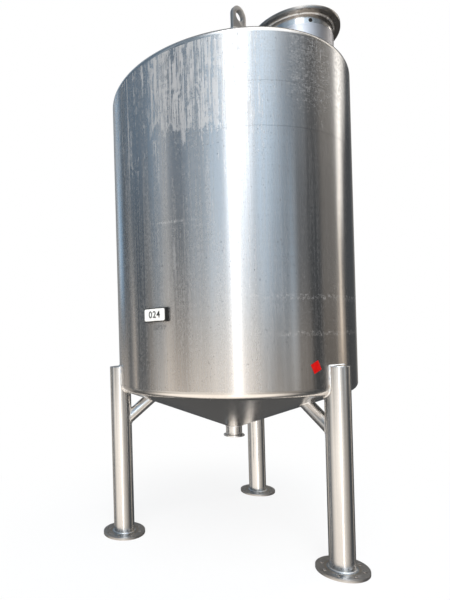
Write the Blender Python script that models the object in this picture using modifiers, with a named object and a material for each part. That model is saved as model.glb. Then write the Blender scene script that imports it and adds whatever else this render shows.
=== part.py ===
"""Vertical stainless storage tank on three pipe legs.

A plain cylinder between two rounded knuckle rings, with a shallow conical roof and a
steeper conical bottom. An open flanged manway and three lifting lugs stand on the roof,
and a clamp outlet hangs under the bottom. Each leg is a pipe let into the shell's edge,
braced to the bottom and welded to a round drilled foot plate.

Metres, +Z up. The origin is on the floor under the middle of the whole tank's box,
and azimuth 0 is the tank's front, towards -Y, with +90 degrees towards +X.
"""
from math import cos, radians, sin, tan

import bmesh
import bpy

# Driving dimensions of the vessel
SHELL_RADIUS = 0.500
WALL = 0.003
SHELL_BOTTOM = 0.645
SHELL_TOP = 1.853
ROOF_KNUCKLE = 0.030
ROOF_SLOPE = 12.5
BOTTOM_KNUCKLE = 0.032
BOTTOM_SLOPE = 21.0

# Outlet under the bottom
OUTLET_RADIUS = 0.035
OUTLET_BORE = 0.033
OUTLET_END = 0.399
FERRULE_RADIUS = 0.0455
FERRULE_EDGE = 0.007
FERRULE_TAPER = 0.004
FERRULE_HEIGHT = 0.0155

# Legs, braces and feet
LEG_COUNT = 3
FIRST_LEG = 60.0
LEG_CIRCLE = 0.4985
LEG_RADIUS = 0.04445
LEG_WALL = 0.003
LEG_TOP = 0.718
LEG_CAP = 0.003
BRACE_RADIUS = 0.0254
BRACE_WALL = 0.002
BRACE_RISE = 40.0
BRACE_FOOT = 0.4695
BRACE_LENGTH = 0.225
FOOT_RADIUS = 0.090
FOOT_THICKNESS = 0.010
FOOT_HOLES = 8
FOOT_HOLE_CIRCLE = 0.070
FOOT_HOLE_RADIUS = 0.007

# Lifting lugs on the roof edge
LUG_COUNT = 3
FIRST_LUG = 20.0
LUG_CIRCLE = 0.463
LUG_TURN = 42.0
LUG_WIDTH = 0.067
LUG_THICKNESS = 0.012
LUG_EYE_HEIGHT = 1.929
LUG_EYE_RADIUS = 0.017
LUG_FOOT = 1.870

# Manway beside the middle of the roof
MANWAY_AZIMUTH = 90.0
MANWAY_OFFSET = 0.294
MANWAY_RADIUS = 0.1525
MANWAY_TOP = 2.080
MANWAY_FLANGE_RADIUS = 0.1785
MANWAY_FLANGE = 0.012
MANWAY_FOOT = 1.860
VENT_AZIMUTH = 30.0
VENT_HEIGHT = 2.040
VENT_RADIUS = 0.006

# Nameplate on its stand-off bracket, and the square sticker
PLATE_AZIMUTH = -18.1
PLATE_HEIGHT = 0.920
PLATE_SIZE = (0.095, 0.0015, 0.044)
PLATE_CORNER = 0.005
BRACKET_SIZE = (0.104, 0.016, 0.050)
BRACKET_SHEET = 0.002
STICKER_AZIMUTH = 47.7
STICKER_HEIGHT = 0.721
STICKER_SIDE = 0.035
STICKER_THICKNESS = 0.0004
STICKER_TURN = 25.0

# Modelling values
GAP = 0.0003
MERGE = 0.00005
LARGE_STEPS = 72
MEDIUM_STEPS = 48
SMALL_STEPS = 32
HOLE_STEPS = 16
KNUCKLE_STEPS = 5
CUTTER_PROUD = 0.02
SHARP_ANGLE = 30.0

# The bracket's outer corner is the tank's foremost point and the rear foot its rearmost,
# so the tank's axis stands in front of the origin
BRACKET_FACE = SHELL_RADIUS + BRACKET_SIZE[1] - BRACKET_SHEET
FRONT_REACH = (BRACKET_FACE * cos(radians(PLATE_AZIMUTH))
               - BRACKET_SIZE[0] / 2 * sin(radians(PLATE_AZIMUTH)))
REAR_REACH = LEG_CIRCLE + FOOT_RADIUS
TANK_Y = (FRONT_REACH - REAR_REACH) / 2


def clear_scene():
    """Remove every object that the file holds."""
    for old in list(bpy.data.objects):
        bpy.data.objects.remove(old, do_unlink=True)


def new_collection(name):
    collection = bpy.data.collections.new(name)
    bpy.context.scene.collection.children.link(collection)
    return collection


clear_scene()
PARTS = new_collection("storage_tank")
CUTTERS = new_collection("tank_cutters")


def metal(name, colour, roughness, metallic=1.0):
    """A plain material with the given colour, roughness and metallic value."""
    made = bpy.data.materials.new(name)
    made.use_nodes = True
    shader = made.node_tree.nodes["Principled BSDF"]
    shader.inputs["Base Color"].default_value = (*colour, 1.0)
    shader.inputs["Roughness"].default_value = roughness
    shader.inputs["Metallic"].default_value = metallic
    return made


SHELL_STEEL = metal("shell_steel", (0.62, 0.62, 0.64), 0.30)
HEAD_STEEL = metal("head_steel", (0.56, 0.55, 0.54), 0.28)
PIPE_STEEL = metal("pipe_steel", (0.60, 0.60, 0.60), 0.22)
PLATE_STEEL = metal("plate_steel", (0.48, 0.48, 0.48), 0.40)
LABEL_WHITE = metal("label_white", (0.82, 0.82, 0.80), 0.45, 0.0)
STICKER_RED = metal("sticker_red", (0.70, 0.09, 0.07), 0.40, 0.0)


def add_part(name, mesh, finish, parent=None):
    """Link a mesh as one named sub-part of the tank."""
    part = bpy.data.objects.new(name, mesh)
    mesh.materials.append(finish)
    PARTS.objects.link(part)
    part.parent = parent
    return part


def add_cutter(name, mesh, parent=None):
    """Link a mesh as a cutter, drawn as wire and left out of renders."""
    cutter = bpy.data.objects.new(name, mesh)
    cutter.hide_render = True
    cutter.display_type = "WIRE"
    CUTTERS.objects.link(cutter)
    cutter.parent = parent
    return cutter


def cut(part, cutter):
    """Subtract the cutter from the part."""
    boolean = part.modifiers.new("cut_by_" + cutter.name, "BOOLEAN")
    boolean.operation = "DIFFERENCE"
    boolean.solver = "EXACT"
    boolean.object = cutter


def profile_mesh(name, points, closed=True):
    """A mesh of edges through (radius, height) points, for turning."""
    vertices = [(radius, 0.0, height) for radius, height in points]
    edges = [(index, index + 1) for index in range(len(points) - 1)]
    if closed:
        edges.append((len(points) - 1, 0))
    mesh = bpy.data.meshes.new(name)
    mesh.from_pydata(vertices, edges, [])
    return mesh


def turn(part, steps):
    """Turn the part's profile once round its own Z axis."""
    screw = part.modifiers.new("turn", "SCREW")
    screw.axis = "Z"
    screw.angle = radians(360)
    screw.steps = steps
    screw.render_steps = steps
    screw.use_merge_vertices = True
    screw.merge_threshold = MERGE


def turned_part(name, points, steps, finish, parent, closed=True):
    part = add_part(name, profile_mesh(name, points, closed), finish, parent)
    turn(part, steps)
    return part


def turned_cutter(name, points, steps, parent):
    cutter = add_cutter(name, profile_mesh(name, points, closed=False), parent)
    turn(cutter, steps)
    return cutter


def pipe_profile(outer, inner, bottom, top):
    """A pipe wall's section, down its outer side and up its bore."""
    return [(outer, top), (outer, bottom), (inner, bottom), (inner, top)]


def cylinder_mesh(name, radius, bottom, top, steps):
    """A closed upright cylinder between two heights."""
    shape = bmesh.new()
    bmesh.ops.create_cone(shape, cap_ends=True, segments=steps, radius1=radius, radius2=radius,
                          depth=top - bottom)
    bmesh.ops.translate(shape, vec=(0, 0, (top + bottom) / 2), verts=shape.verts)
    mesh = bpy.data.meshes.new(name)
    shape.to_mesh(mesh)
    shape.free()
    return mesh


def box_mesh(name, size):
    """A closed box of the given size about its own middle."""
    shape = bmesh.new()
    bmesh.ops.create_cube(shape, size=1.0)
    bmesh.ops.scale(shape, vec=size, verts=shape.verts)
    mesh = bpy.data.meshes.new(name)
    shape.to_mesh(mesh)
    shape.free()
    return mesh


def on_tank(part, azimuth, radius, height=0.0):
    """Place a part at an azimuth round the tank, with its local -Y facing outwards."""
    turned = radians(azimuth)
    part.location = (radius * sin(turned), -radius * cos(turned), height)
    part.rotation_euler = (0.0, 0.0, turned)


def arc(centre, radius, start, end, steps=KNUCKLE_STEPS):
    """Points of an arc, with angles in degrees from the outward direction towards +Z."""
    points = []
    for step in range(steps + 1):
        angle = radians(start + (end - start) * step / steps)
        points.append((centre[0] + radius * cos(angle), centre[1] + radius * sin(angle)))
    return points


def roof_edge(offset, along=0.0):
    """Where the roof's knuckle meets its cone, moved outwards and then up along the cone."""
    slope = radians(ROOF_SLOPE)
    reach = ROOF_KNUCKLE + offset
    return (SHELL_RADIUS - ROOF_KNUCKLE + reach * sin(slope) - along * cos(slope),
            SHELL_TOP + reach * cos(slope) + along * sin(slope))


def roof_height(radius, offset=0.0):
    """Height of the conical roof at a radius, moved outwards by an offset."""
    edge_radius, edge_height = roof_edge(offset)
    return edge_height + (edge_radius - radius) * tan(radians(ROOF_SLOPE))


def roof_arc(offset):
    """The roof knuckle's outline, from its cone down to the shell."""
    centre = (SHELL_RADIUS - ROOF_KNUCKLE, SHELL_TOP)
    return arc(centre, ROOF_KNUCKLE + offset, 90 - ROOF_SLOPE, 0)


def bottom_edge(offset, along=0.0):
    """Where the bottom's knuckle meets its cone, moved outwards and then down along the cone."""
    slope = radians(BOTTOM_SLOPE)
    reach = BOTTOM_KNUCKLE + offset
    return (SHELL_RADIUS - BOTTOM_KNUCKLE + reach * sin(slope) - along * cos(slope),
            SHELL_BOTTOM - reach * cos(slope) - along * sin(slope))


def bottom_height(radius, offset=0.0):
    """Height of the conical bottom at a radius, moved outwards by an offset."""
    edge_radius, edge_height = bottom_edge(offset)
    return edge_height - (edge_radius - radius) * tan(radians(BOTTOM_SLOPE))


def bottom_arc(offset):
    """The bottom knuckle's outline, from the shell down to its cone."""
    centre = (SHELL_RADIUS - BOTTOM_KNUCKLE, SHELL_BOTTOM)
    return arc(centre, BOTTOM_KNUCKLE + offset, 0, BOTTOM_SLOPE - 90)


# Everything round the tank hangs on an empty on its axis
TANK_AXIS = bpy.data.objects.new("tank_axis", None)
PARTS.objects.link(TANK_AXIS)
TANK_AXIS.location = (0.0, TANK_Y, 0.0)

# What is welded to the vessel is cut back to this outline, the gap outside its surface
ENVELOPE_OUTLINE = ([(0.0, roof_height(0.0, GAP))] + roof_arc(GAP)
                    + bottom_arc(GAP) + [(0.0, bottom_height(0.0, GAP))])
VESSEL_ENVELOPE = turned_cutter("vessel_envelope", ENVELOPE_OUTLINE, LARGE_STEPS, TANK_AXIS)


def make_vessel():
    """The shell between its two knuckle rings, the conical roof and the conical bottom."""
    wall = pipe_profile(SHELL_RADIUS, SHELL_RADIUS - WALL, SHELL_BOTTOM + GAP, SHELL_TOP - GAP)
    turned_part("shell", wall, LARGE_STEPS, SHELL_STEEL, TANK_AXIS)
    turned_part("roof_knuckle", roof_arc(0.0) + roof_arc(-WALL)[::-1], LARGE_STEPS, HEAD_STEEL,
                TANK_AXIS)
    turned_part("bottom_knuckle", bottom_arc(0.0) + bottom_arc(-WALL)[::-1], LARGE_STEPS, HEAD_STEEL,
                TANK_AXIS)

    roof_wall = [(0.0, roof_height(0.0)), roof_edge(0.0, GAP), roof_edge(-WALL, GAP),
                 (0.0, roof_height(0.0, -WALL))]
    roof = turned_part("roof_cone", roof_wall, LARGE_STEPS, HEAD_STEEL, TANK_AXIS, closed=False)
    hole = add_cutter("manway_hole", cylinder_mesh("manway_hole", MANWAY_RADIUS - WALL, MANWAY_FOOT,
                                                   MANWAY_TOP, MEDIUM_STEPS), TANK_AXIS)
    on_tank(hole, MANWAY_AZIMUTH, MANWAY_OFFSET)
    cut(roof, hole)

    bottom_wall = [bottom_edge(0.0, GAP), (OUTLET_BORE, bottom_height(OUTLET_BORE)),
                   (OUTLET_BORE, bottom_height(OUTLET_BORE, -WALL)), bottom_edge(-WALL, GAP)]
    turned_part("bottom_cone", bottom_wall, LARGE_STEPS, HEAD_STEEL, TANK_AXIS)


def make_outlet():
    """The outlet stub under the middle of the bottom, and its clamp ferrule."""
    ferrule_top = OUTLET_END + FERRULE_HEIGHT
    stub = [
        (OUTLET_RADIUS, bottom_height(OUTLET_RADIUS, GAP)),
        (OUTLET_RADIUS, ferrule_top + GAP),
        (OUTLET_BORE, ferrule_top + GAP),
        (OUTLET_BORE, bottom_height(OUTLET_BORE, GAP)),
    ]
    turned_part("outlet_tube", stub, MEDIUM_STEPS, PIPE_STEEL, TANK_AXIS)
    edge_top = OUTLET_END + FERRULE_EDGE
    ferrule = [
        (OUTLET_RADIUS, ferrule_top),
        (OUTLET_RADIUS, edge_top + FERRULE_TAPER),
        (FERRULE_RADIUS - FERRULE_TAPER / 2, edge_top),
        (FERRULE_RADIUS, edge_top - FERRULE_TAPER / 2),
        (FERRULE_RADIUS, OUTLET_END + FERRULE_TAPER / 2),
        (FERRULE_RADIUS - FERRULE_TAPER / 2, OUTLET_END),
        (OUTLET_BORE, OUTLET_END),
        (OUTLET_BORE, ferrule_top),
    ]
    turned_part("outlet_ferrule", ferrule, MEDIUM_STEPS, PIPE_STEEL, TANK_AXIS)


def foot_hole_mesh():
    """The foot plate's bolt holes, as one ring of separate cylinders."""
    shape = bmesh.new()
    for index in range(FOOT_HOLES):
        angle = radians(360 * (index + 0.5) / FOOT_HOLES)
        made = bmesh.ops.create_cone(shape, cap_ends=True, segments=HOLE_STEPS,
                                     radius1=FOOT_HOLE_RADIUS, radius2=FOOT_HOLE_RADIUS,
                                     depth=FOOT_THICKNESS + 2 * CUTTER_PROUD)
        place = (FOOT_HOLE_CIRCLE * sin(angle), -FOOT_HOLE_CIRCLE * cos(angle), FOOT_THICKNESS / 2)
        bmesh.ops.translate(shape, vec=place, verts=made["verts"])
    mesh = bpy.data.meshes.new("foot_holes")
    shape.to_mesh(mesh)
    shape.free()
    return mesh


def make_leg(number, azimuth):
    """One pipe leg with its top cap, its brace and its drilled foot plate."""
    leg_foot = FOOT_THICKNESS + GAP
    bore = LEG_RADIUS - LEG_WALL
    leg = turned_part(f"leg_{number}", pipe_profile(LEG_RADIUS, bore, leg_foot, LEG_TOP),
                      SMALL_STEPS, PIPE_STEEL, TANK_AXIS)
    on_tank(leg, azimuth, LEG_CIRCLE)
    cut(leg, VESSEL_ENVELOPE)

    cap_mesh = cylinder_mesh("leg_cap", LEG_RADIUS, LEG_TOP + GAP, LEG_TOP + GAP + LEG_CAP,
                             SMALL_STEPS)
    cap = add_part(f"leg_cap_{number}", cap_mesh, PIPE_STEEL, TANK_AXIS)
    on_tank(cap, azimuth, LEG_CIRCLE)
    cut(cap, VESSEL_ENVELOPE)

    leg_outside = add_cutter(f"leg_outside_{number}",
                             cylinder_mesh("leg_outside", LEG_RADIUS + GAP, leg_foot,
                                           LEG_TOP + CUTTER_PROUD, SMALL_STEPS), TANK_AXIS)
    on_tank(leg_outside, azimuth, LEG_CIRCLE)
    brace = turned_part(f"brace_{number}",
                        pipe_profile(BRACE_RADIUS, BRACE_RADIUS - BRACE_WALL, 0.0, BRACE_LENGTH),
                        SMALL_STEPS, PIPE_STEEL, TANK_AXIS)
    on_tank(brace, azimuth, LEG_CIRCLE, BRACE_FOOT)
    brace.rotation_euler.x = radians(BRACE_RISE - 90)
    cut(brace, leg_outside)
    cut(brace, VESSEL_ENVELOPE)

    foot_mesh = cylinder_mesh("foot_plate", FOOT_RADIUS, 0.0, FOOT_THICKNESS, MEDIUM_STEPS)
    foot = add_part(f"foot_plate_{number}", foot_mesh, PLATE_STEEL, TANK_AXIS)
    on_tank(foot, azimuth, LEG_CIRCLE)
    holes = add_cutter(f"foot_holes_{number}", foot_hole_mesh(), TANK_AXIS)
    on_tank(holes, azimuth, LEG_CIRCLE)
    cut(foot, holes)


def circle_points(spline, centre, radius, start, end, steps):
    """Put an arc on the last points of a poly spline, angles in degrees."""
    first = len(spline.points) - steps - 1
    for step in range(steps + 1):
        angle = radians(start + (end - start) * step / steps)
        place = (centre[0] + radius * cos(angle), centre[1] + radius * sin(angle), 0.0, 1.0)
        spline.points[first + step].co = place


def lug_mesh():
    """A round-topped plate with its eye, drawn flat round the eye and stood upright."""
    drawn = bpy.data.curves.new("lug_outline", "CURVE")
    drawn.dimensions = "2D"
    drawn.fill_mode = "BOTH"
    drawn.extrude = LUG_THICKNESS / 2
    foot = LUG_FOOT - LUG_EYE_HEIGHT
    half = LUG_WIDTH / 2

    outline = drawn.splines.new("POLY")
    outline.use_cyclic_u = True
    outline.points.add(HOLE_STEPS + 2)
    outline.points[0].co = (-half, foot, 0.0, 1.0)
    outline.points[1].co = (half, foot, 0.0, 1.0)
    circle_points(outline, (0.0, 0.0), half, 0, 180, HOLE_STEPS)

    eye = drawn.splines.new("POLY")
    eye.use_cyclic_u = True
    eye.points.add(MEDIUM_STEPS // 2 - 1)
    last_angle = 360 - 360 / (MEDIUM_STEPS // 2)
    circle_points(eye, (0.0, 0.0), LUG_EYE_RADIUS, 0, last_angle, MEDIUM_STEPS // 2 - 1)

    drawing = bpy.data.objects.new("lug_outline", drawn)
    PARTS.objects.link(drawing)
    drawing.rotation_euler.x = radians(90)
    depsgraph = bpy.context.evaluated_depsgraph_get()
    mesh = bpy.data.meshes.new_from_object(drawing.evaluated_get(depsgraph))
    mesh.transform(drawing.matrix_world)
    bpy.data.objects.remove(drawing, do_unlink=True)

    welded = bmesh.new()
    welded.from_mesh(mesh)
    bmesh.ops.remove_doubles(welded, verts=welded.verts, dist=MERGE)
    bmesh.ops.recalc_face_normals(welded, faces=welded.faces)
    welded.to_mesh(mesh)
    welded.free()
    return mesh


def make_lugs():
    """The lifting lugs, turned the same way and cut to the roof's edge."""
    for number in range(LUG_COUNT):
        lug = add_part(f"lifting_lug_{number + 1}", lug_mesh(), PLATE_STEEL, TANK_AXIS)
        azimuth = FIRST_LUG + 360 * number / LUG_COUNT
        on_tank(lug, azimuth, LUG_CIRCLE, LUG_EYE_HEIGHT)
        lug.rotation_euler.z += radians(LUG_TURN)
        cut(lug, VESSEL_ENVELOPE)


def make_manway():
    """The manway's neck, cut to the roof and drilled once, and its flat flange."""
    bore = MANWAY_RADIUS - WALL
    flange_foot = MANWAY_TOP - MANWAY_FLANGE
    neck = turned_part("manway_neck", pipe_profile(MANWAY_RADIUS, bore, MANWAY_FOOT, flange_foot - GAP),
                       MEDIUM_STEPS, HEAD_STEEL, TANK_AXIS)
    on_tank(neck, MANWAY_AZIMUTH, MANWAY_OFFSET)
    cut(neck, VESSEL_ENVELOPE)

    vent_mesh = cylinder_mesh("vent_hole", VENT_RADIUS, -CUTTER_PROUD, CUTTER_PROUD, HOLE_STEPS)
    vent = add_cutter("vent_hole", vent_mesh, TANK_AXIS)
    side = radians(VENT_AZIMUTH)
    vent.location = (neck.location.x + MANWAY_RADIUS * sin(side),
                     neck.location.y - MANWAY_RADIUS * cos(side), VENT_HEIGHT)
    vent.rotation_euler = (radians(90), 0.0, side)
    cut(neck, vent)

    flange = turned_part("manway_flange",
                         pipe_profile(MANWAY_FLANGE_RADIUS, bore, flange_foot, MANWAY_TOP),
                         MEDIUM_STEPS, PLATE_STEEL, TANK_AXIS)
    on_tank(flange, MANWAY_AZIMUTH, MANWAY_OFFSET)


def clipped_plate_mesh(name, size, corner):
    """A flat upright plate whose four corners are clipped."""
    shape = bmesh.new()
    bmesh.ops.create_cube(shape, size=1.0)
    bmesh.ops.scale(shape, vec=size, verts=shape.verts)
    corners = [edge for edge in shape.edges
               if abs(edge.verts[0].co.y - edge.verts[1].co.y) > size[1] / 2]
    bmesh.ops.bevel(shape, geom=corners, offset=corner, segments=1, affect="EDGES")
    mesh = bpy.data.meshes.new(name)
    shape.to_mesh(mesh)
    shape.free()
    return mesh


def make_labels():
    """The nameplate on its channel bracket, and the small square sticker."""
    bracket_mesh = box_mesh("nameplate_bracket", BRACKET_SIZE)
    bracket = add_part("nameplate_bracket", bracket_mesh, PLATE_STEEL, TANK_AXIS)
    on_tank(bracket, PLATE_AZIMUTH, BRACKET_FACE - BRACKET_SIZE[1] / 2, PLATE_HEIGHT)
    channel = (BRACKET_SIZE[0] - 2 * BRACKET_SHEET, BRACKET_SIZE[1], BRACKET_SIZE[2] + CUTTER_PROUD)
    hollow = add_cutter("bracket_hollow", box_mesh("bracket_hollow", channel), TANK_AXIS)
    on_tank(hollow, PLATE_AZIMUTH, BRACKET_FACE - BRACKET_SHEET - BRACKET_SIZE[1] / 2, PLATE_HEIGHT)
    cut(bracket, hollow)
    cut(bracket, VESSEL_ENVELOPE)

    plate_mesh = clipped_plate_mesh("nameplate", PLATE_SIZE, PLATE_CORNER)
    plate = add_part("nameplate", plate_mesh, LABEL_WHITE, TANK_AXIS)
    on_tank(plate, PLATE_AZIMUTH, BRACKET_FACE + GAP + PLATE_SIZE[1] / 2, PLATE_HEIGHT)

    sticker_mesh = box_mesh("sticker", (STICKER_SIDE, STICKER_THICKNESS, STICKER_SIDE))
    sticker = add_part("sticker", sticker_mesh, STICKER_RED, TANK_AXIS)
    on_tank(sticker, STICKER_AZIMUTH, SHELL_RADIUS + GAP + STICKER_THICKNESS / 2, STICKER_HEIGHT)
    sticker.rotation_euler.y = radians(-STICKER_TURN)


def settle_parts():
    """Settle each part's modifiers into its mesh and shade it smooth between sharp edges."""
    depsgraph = bpy.context.evaluated_depsgraph_get()
    settled = {}
    for part in PARTS.objects:
        if part.type == "MESH":
            settled[part] = bpy.data.meshes.new_from_object(part.evaluated_get(depsgraph))
    for part, mesh in settled.items():
        part.modifiers.clear()
        part.data = mesh
        mesh.shade_smooth()
        mesh.set_sharp_from_angle(angle=radians(SHARP_ANGLE))


make_vessel()
make_outlet()
for leg_number in range(LEG_COUNT):
    make_leg(leg_number + 1, FIRST_LEG + 360 * leg_number / LEG_COUNT)
make_lugs()
make_manway()
make_labels()
settle_parts()
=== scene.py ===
"""Looks of the vertical storage tank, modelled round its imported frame.

Every piece is modelled anew in its CAD node's place, finely enough for smooth reflections:
turned sheets for the vessel, pipes cut to each other for the legs and braces, rippled weld
beads in the joints, and worn stainless finishes worked out from each point's place.

Metres, +Z up. Azimuth 0 is the tank's front, towards -Y, with +90 degrees towards +X.
"""
import random
from math import asin, atan2, cos, degrees, hypot, pi, radians, sin, sqrt, tan

import bpy
from mathutils import Matrix, Vector


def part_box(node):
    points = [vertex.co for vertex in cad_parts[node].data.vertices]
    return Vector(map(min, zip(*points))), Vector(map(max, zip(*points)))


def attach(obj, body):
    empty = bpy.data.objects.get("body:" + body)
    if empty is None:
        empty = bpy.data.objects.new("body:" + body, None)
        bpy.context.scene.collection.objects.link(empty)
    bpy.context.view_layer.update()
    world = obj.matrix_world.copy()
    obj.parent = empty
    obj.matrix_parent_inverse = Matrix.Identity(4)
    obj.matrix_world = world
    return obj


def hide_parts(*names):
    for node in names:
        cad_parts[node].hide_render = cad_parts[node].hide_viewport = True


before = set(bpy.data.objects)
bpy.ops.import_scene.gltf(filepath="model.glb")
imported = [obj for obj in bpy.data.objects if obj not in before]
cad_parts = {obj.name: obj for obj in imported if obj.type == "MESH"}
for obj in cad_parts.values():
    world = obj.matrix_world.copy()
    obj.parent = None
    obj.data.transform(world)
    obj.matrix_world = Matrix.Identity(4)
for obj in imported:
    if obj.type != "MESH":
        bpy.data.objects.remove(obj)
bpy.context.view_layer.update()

GAP = 0.0003


def node_size(node):
    low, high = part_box(node)
    return high - low


def node_middle(node):
    low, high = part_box(node)
    return (low + high) / 2


# Sizes of the vessel, read from the frame or equal to the CAD's
TANK_AXIS = node_middle("shell").xy
AXIS_POINT = (*TANK_AXIS, 0.0)
SHELL_RADIUS = node_size("shell").x / 2
SHELL_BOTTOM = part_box("shell")[0].z - GAP
SHELL_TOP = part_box("shell")[1].z + GAP
WALL = 0.003
ROOF_KNUCKLE = 0.030
ROOF_SLOPE = 12.5
ROOF_SHARES = (0.75, 0.5, 0.25)
ROOF_POLE = 0.006
BOTTOM_KNUCKLE = 0.032
BOTTOM_SLOPE = 21.0
BOTTOM_SHARES = (0.3, 0.6)
BLOCK_POLE = 0.001

# Outlet
OUTLET_RADIUS = node_size("outlet_tube").x / 2
OUTLET_WALL = 0.002
FERRULE_RADIUS = node_size("outlet_ferrule").x / 2
FERRULE_EDGE = 0.007
FERRULE_TAPER = 0.004
FERRULE_SHOULDER = (0.0015, 0.0024)
FERRULE_SWEEP = 70.0
GROOVE_HALF = 0.0018
GROOVE_FLOOR_HALF = 0.0010
GROOVE_DEPTH = 0.0012

# Legs, braces and feet
LEG_NUMBERS = (1, 2, 3)
LEG_CIRCLE = hypot(*(node_middle("foot_plate_1").xy - TANK_AXIS))
LEG_RADIUS = 0.04445
LEG_WALL = 0.003
CAP_RISE = 0.0025
CAP_ROUND_SHARE = 0.9
CAP_SWEEP = 80.0
CAP_DOME = ((0.5, 0.8), (0.1, 1.0))
BRACE_RADIUS = 0.0254
BRACE_WALL = 0.002
BRACE_RISE = 40.0
BRACE_FOOT = 0.4695
BRACE_LENGTH = 0.225
BRACE_SEARCH = (0.06, BRACE_LENGTH + 0.05)
BRACE_HALVINGS = 30
FOOT_RADIUS = node_size("foot_plate_1").x / 2
FOOT_THICKNESS = node_size("foot_plate_1").z
FOOT_HOLES = 8
FOOT_HOLE_CIRCLE = 0.070
FOOT_HOLE_RADIUS = 0.007
FOOT_EDGE = 0.0008

# Lifting lugs
LUG_NUMBERS = (1, 2, 3)
FIRST_LUG = 20.0
LUG_CIRCLE = 0.463
LUG_TURN = 42.0
LUG_WIDTH = 0.067
LUG_THICKNESS = 0.012
LUG_EYE_HEIGHT = 1.929
LUG_EYE_RADIUS = 0.017
LUG_FOOT = 1.870
SAWN_EDGE = 0.0012

# Manway
MANWAY_CENTRE = node_middle("manway_flange").xy
MANWAY_RADIUS = node_size("manway_neck").x / 2
MANWAY_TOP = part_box("manway_flange")[1].z
MANWAY_FLANGE = node_size("manway_flange").z
MANWAY_FLANGE_RADIUS = node_size("manway_flange").x / 2
MANWAY_FOOT = 1.860
VENT_AZIMUTH = 30.0
VENT_HEIGHT = 2.040
VENT_RADIUS = 0.006
VENT_OPEN_DEPTH = 0.0022
COLLAR_GROUND = 2.030

# Nameplate and sticker
PLATE_AZIMUTH = -18.1
PLATE_HEIGHT = 0.920
PLATE_SIZE = (0.095, 0.0015, 0.044)
PLATE_CORNER = 0.005
PLATE_EDGE = 0.0003
BRACKET_SIZE = (0.104, 0.016, 0.050)
BRACKET_SHEET = 0.002
BRACKET_BEND = 0.003
BRACKET_FACE = SHELL_RADIUS + BRACKET_SIZE[1] - BRACKET_SHEET
PLATE_DIGITS = "024"
DIGIT_SIZE = 0.034
DIGIT_PROUD = 0.0002
DIGIT_WEIGHT = 0.0007
DIGIT_SPACING = 1.1
STICKER_AZIMUTH = 47.7
STICKER_HEIGHT = 0.721
STICKER_SIDE = 0.035
STICKER_THICKNESS = 0.0004
STICKER_TURN = 25.0

# Fineness of the meshes
VESSEL_SIDES = 256
MANWAY_SIDES = 160
LEG_SIDES = 96
BRACE_SIDES = 64
FOOT_SIDES = 128
HOLE_SIDES = 32
KNUCKLE_STEPS = 16
ROUNDING_STEPS = 5
PATH_STEPS = 48
RING_STEPS = 180
MANWAY_RING_STEPS = 240
LUG_SIDE_STEPS = 12
STICKER_STEPS = 12
BEND_STEPS = 4
CORNER_STEPS = 3
SMOOTH_ANGLE = 32.0
CAP_SMOOTH_ANGLE = 40.0
WELD_SMOOTH_ANGLE = 60.0
EDGE_ANGLE = 40.0
CUTTER_PROUD = 0.02
MERGE = 0.00002

# Weld beads
RIPPLE_PITCH = 0.0036
RIPPLE_POINTS = 3
RIPPLE_DEPTH = 0.13
RIPPLE_CHANCE = 0.03
BEAD_ROUNDNESS = 2
OUTLET_SEAM_WIDTH = 0.0022
OUTLET_COLLAR_WIDTH = 0.0045
SADDLE_WIDTH = 0.008
SADDLE_SWELL = 1.15
BRACE_FOOT_WIDTH = 0.005
BRACE_HEAD_WIDTH = 0.0045
FOOT_WELD_WIDTH = 0.006
LUG_WELD_WIDTH = 0.005
MANWAY_WELD_WIDTH = 0.007
THIN_WELD_SHIFT = 0.0004
THICK_WELD_SHIFT = 0.0005


def outward(azimuth):
    """The direction away from an upright axis, in plan."""
    turned = radians(azimuth)
    return Vector((sin(turned), -cos(turned)))


def along(azimuth, reach):
    """The point at a distance from the tank's axis, in plan."""
    turned = radians(azimuth)
    return TANK_AXIS + Vector((reach * sin(turned), -reach * cos(turned)))


def leg_azimuth(number):
    away = node_middle(f"foot_plate_{number}").xy - TANK_AXIS
    return degrees(atan2(away.x, -away.y))


# Turns a mesh that lies flat to face the front
STAND_UP = Matrix.Rotation(radians(90), 4, "X")

# The vessel's outline

def arc(centre, radius, start, end, steps=KNUCKLE_STEPS):
    """Points of an arc, with angles in degrees from the outward direction towards +Z."""
    angles = [radians(start + (end - start) * step / steps) for step in range(steps + 1)]
    return [(centre[0] + radius * cos(angle), centre[1] + radius * sin(angle)) for angle in angles]


def roof_arc(offset):
    centre = (SHELL_RADIUS - ROOF_KNUCKLE, SHELL_TOP)
    return arc(centre, ROOF_KNUCKLE + offset, 0, 90 - ROOF_SLOPE)


def bottom_arc(offset):
    centre = (SHELL_RADIUS - BOTTOM_KNUCKLE, SHELL_BOTTOM)
    return arc(centre, BOTTOM_KNUCKLE + offset, BOTTOM_SLOPE - 90, 0)


def head_height(radius, edge, slope, knuckle, offset, seam, way):
    """Height of a head's outer side at a distance from the axis, its way 1 for up or -1 for down."""
    if radius < edge[0]:
        return edge[1] + way * (edge[0] - radius) * tan(radians(slope))
    beyond = min(radius - (SHELL_RADIUS - knuckle), knuckle + offset)
    return seam + way * sqrt((knuckle + offset) ** 2 - beyond ** 2)


def roof_height(radius, offset=0.0):
    edge = roof_arc(offset)[-1]
    return head_height(radius, edge, ROOF_SLOPE, ROOF_KNUCKLE, offset, SHELL_TOP, 1)


def bottom_height(radius, offset=0.0):
    edge = bottom_arc(offset)[0]
    return head_height(radius, edge, BOTTOM_SLOPE, BOTTOM_KNUCKLE, offset, SHELL_BOTTOM, -1)


# Modelling, with the operators that are used by hand

def work_on(piece):
    """Make a piece the only selected one."""
    bpy.ops.object.select_all(action="DESELECT")
    piece.select_set(True)
    bpy.context.view_layer.objects.active = piece


def new_piece(name):
    """Name the object that was just added."""
    piece = bpy.context.object
    piece.name = name
    piece.data.name = name
    return piece


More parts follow.
